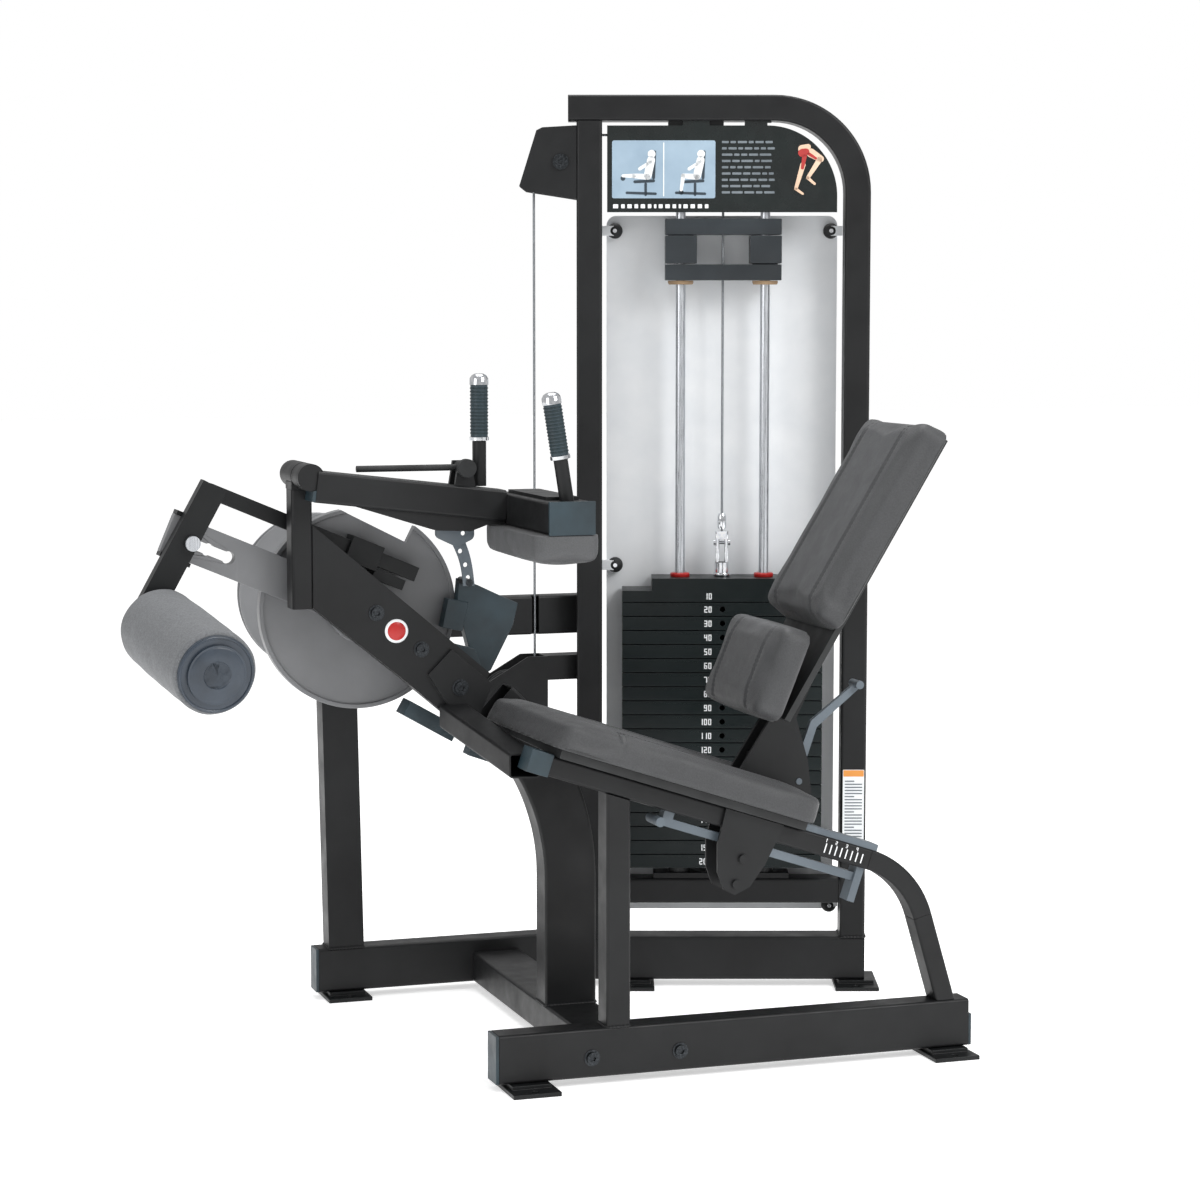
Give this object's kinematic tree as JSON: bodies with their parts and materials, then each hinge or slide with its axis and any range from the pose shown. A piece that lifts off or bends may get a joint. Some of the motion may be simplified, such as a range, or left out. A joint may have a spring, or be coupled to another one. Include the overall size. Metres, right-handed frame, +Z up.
{
  "type": "seated leg curl machine",
  "caption": "Selectorised seated leg curl: padded seat and adjustable back, roller lever and cam, locking thigh arm with handles, and a shrouded weight tower.",
  "frame": {"origin": "centre of the overall box at floor level", "axes": "+Z up, +X along the floor rails towards the user's back, +Y away from the entry side; the tower is turned 18.5 degrees"},
  "size_m": [1.6334, 0.95, 1.83],
  "materials": {
    "frame_black": "satin powder coat",
    "bracket_black": "satin",
    "cap_teal": "moulded, matte",
    "fastener": "black zinc",
    "placard_print": "printed, matte",
    "shroud_pale": "satin sheet",
    "steel": "polished",
    "rubber_black": "matte",
    "leather": "grained vinyl",
    "board": "textured",
    "silver_grey": "satin",
    "weight_iron": "painted",
    "addon_iron": "painted",
    "lever_grey": "satin grey",
    "cam_steel": "satin",
    "roller_grey": "foam skin, matte",
    "roller_cap": "moulded",
    "pad_grey": "matte skin",
    "pin_red": "gloss",
    "pulley_nylon": "moulded"
  },
  "bodies": {
    "root": {"front_rail": "frame_black", "rear_rail": "frame_black", "crossmember": "frame_black", "foot_plates": "bracket_black", "left_leg": "frame_black", "column": "frame_black", "seat_upright": "frame_black", "seat_frame": "frame_black", "main_beam": "frame_black", "post": "frame_black", "pivot_tube": "frame_black", "tie_tubes": "frame_black", "tube_caps": "cap_teal", "frame_bolts": "fastener", "tower_hoop": "frame_black", "tower_left_upright": "frame_black", "tower_base": "frame_black", "stack_crossbar": "frame_black", "placard": "placard_print", "shroud": "shroud_pale", "guide_rods": "steel", "stack_bumpers": "rubber_black", "pulley_housings": "frame_black", "knee_axle": "steel", "cam_guard": "cap_teal", "seat_pad": "leather", "seat_board": "board", "slide_rail": "silver_grey", "drive_cable": "steel", "stack_cable": "steel", "weights_resting": "weight_iron"},
    "lever": {"cam_disc": "lever_grey", "cable_cam": "cam_steel", "lever_bar": "lever_grey", "lever_hub": "bracket_black", "link_guide": "bracket_black"},
    "roller_arm": {"roller_carriage": "bracket_black", "parallel_link": "bracket_black"},
    "adjuster": {"adjust_pin": "steel"},
    "roller": {"roller_foam": "roller_grey", "roller_core": "roller_cap"},
    "thigh_frame": {"thigh_arm": "frame_black", "thigh_beam": "frame_black", "thigh_pad": "pad_grey", "handle_grips": "cap_teal"},
    "arm_release": {"arm_latch": "rubber_black"},
    "backrest": {"back_carriage": "frame_black", "back_board": "board", "back_pad": "leather", "lumbar_pad": "leather"},
    "back_release": {"latch_lever": "silver_grey"},
    "stack": {"head_plate": "weight_iron", "weights_lifted": "weight_iron"},
    "pin": {"selector_pin": "pin_red"},
    "addon_a": {"addon_left": "addon_iron"},
    "addon_b": {"addon_right": "addon_iron"},
    "wheel_left": {"pulley_left": "pulley_nylon"},
    "wheel_right": {"pulley_right": "pulley_nylon"},
    "wheel_low": {"pulley_low": "pulley_nylon"}
  },
  "joints": [
    {"name": "lever_swing", "type": "hinge", "parent": "root", "child": "lever", "pos_m": [-0.3494, -0.025, 0.838], "axis": [0, -1, 0], "range_deg": [0, 90]},
    {"name": "roller_slide", "type": "slide", "parent": "lever", "child": "roller_arm", "axis": [0.9205, 0, -0.3907], "range_m": [0, 0.08]},
    {"name": "adjuster_pull", "type": "slide", "parent": "roller_arm", "child": "adjuster", "axis": [0, -1, 0], "range_m": [0, 0.02], "stiffness_N_per_m": 400, "springref_m": -0.01},
    {"name": "roller_spin", "type": "hinge", "parent": "roller_arm", "child": "roller", "pos_m": [-0.7454, -0.041, 0.827], "axis": [0.1206, -0.9819, -0.1461], "continuous": true},
    {"name": "thigh_lift", "type": "hinge", "parent": "root", "child": "thigh_frame", "pos_m": [-0.4764, -0.125, 1.097], "axis": [0, -1, 0], "range_deg": [0, 40]},
    {"name": "release_lift", "type": "hinge", "parent": "thigh_frame", "child": "arm_release", "pos_m": [-0.1864, -0.135, 1.11], "axis": [0, 1, 0], "range_deg": [0, 12]},
    {"name": "back_slide", "type": "slide", "parent": "root", "child": "backrest", "axis": [0.9489, 0, -0.3156], "range_m": [-0.06, 0.09]},
    {"name": "back_release_pull", "type": "hinge", "parent": "backrest", "child": "back_release", "pos_m": [0.4136, -0.296, 0.52], "axis": [0, 1, 0], "range_deg": [0, 12], "stiffness_Nm_per_rad": 3, "springref_deg": -17.19},
    {"name": "stack_lift", "type": "slide", "parent": "root", "child": "stack", "axis": [0, 0, 1], "range_m": [0, 0.24], "deforming": ["stack_cable"]},
    {"name": "pin_pull", "type": "slide", "parent": "stack", "child": "pin", "axis": [-0.3173, -0.9483, 0], "range_m": [0, 0.09]},
    {"name": "addon_a_drop", "type": "slide", "parent": "root", "child": "addon_a", "axis": [0, 0, -1], "range_m": [0, 0.15]},
    {"name": "addon_b_drop", "type": "slide", "parent": "root", "child": "addon_b", "axis": [0, 0, -1], "range_m": [0, 0.15]},
    {"name": "wheel_left_turn", "type": "hinge", "parent": "root", "child": "wheel_left", "pos_m": [0.17076, 0.3789, 1.696], "axis": [-0.3173, -0.9483, 0], "range_deg": [0, 250]},
    {"name": "wheel_right_turn", "type": "hinge", "parent": "root", "child": "wheel_right", "pos_m": [0.43155, 0.29164, 1.696], "axis": [-0.3173, -0.9483, 0], "range_deg": [0, 250]},
    {"name": "wheel_low_turn", "type": "hinge", "parent": "root", "child": "wheel_low", "pos_m": [0.0636, 0.39635, 0.6], "axis": [0, 1, 0], "range_deg": [0, 250]}
  ],
  "couplings": [
    {"joint": "stack_lift", "follows": "lever_swing", "m_per_rad": 0.15},
    {"joint": "wheel_left_turn", "follows": "lever_swing", "ratio": 2.7273},
    {"joint": "wheel_right_turn", "follows": "lever_swing", "ratio": 2.7273},
    {"joint": "wheel_low_turn", "follows": "lever_swing", "ratio": 2.7273},
    {"joint": "addon_b_drop", "follows": "addon_a_drop", "ratio": 1}
  ]
}
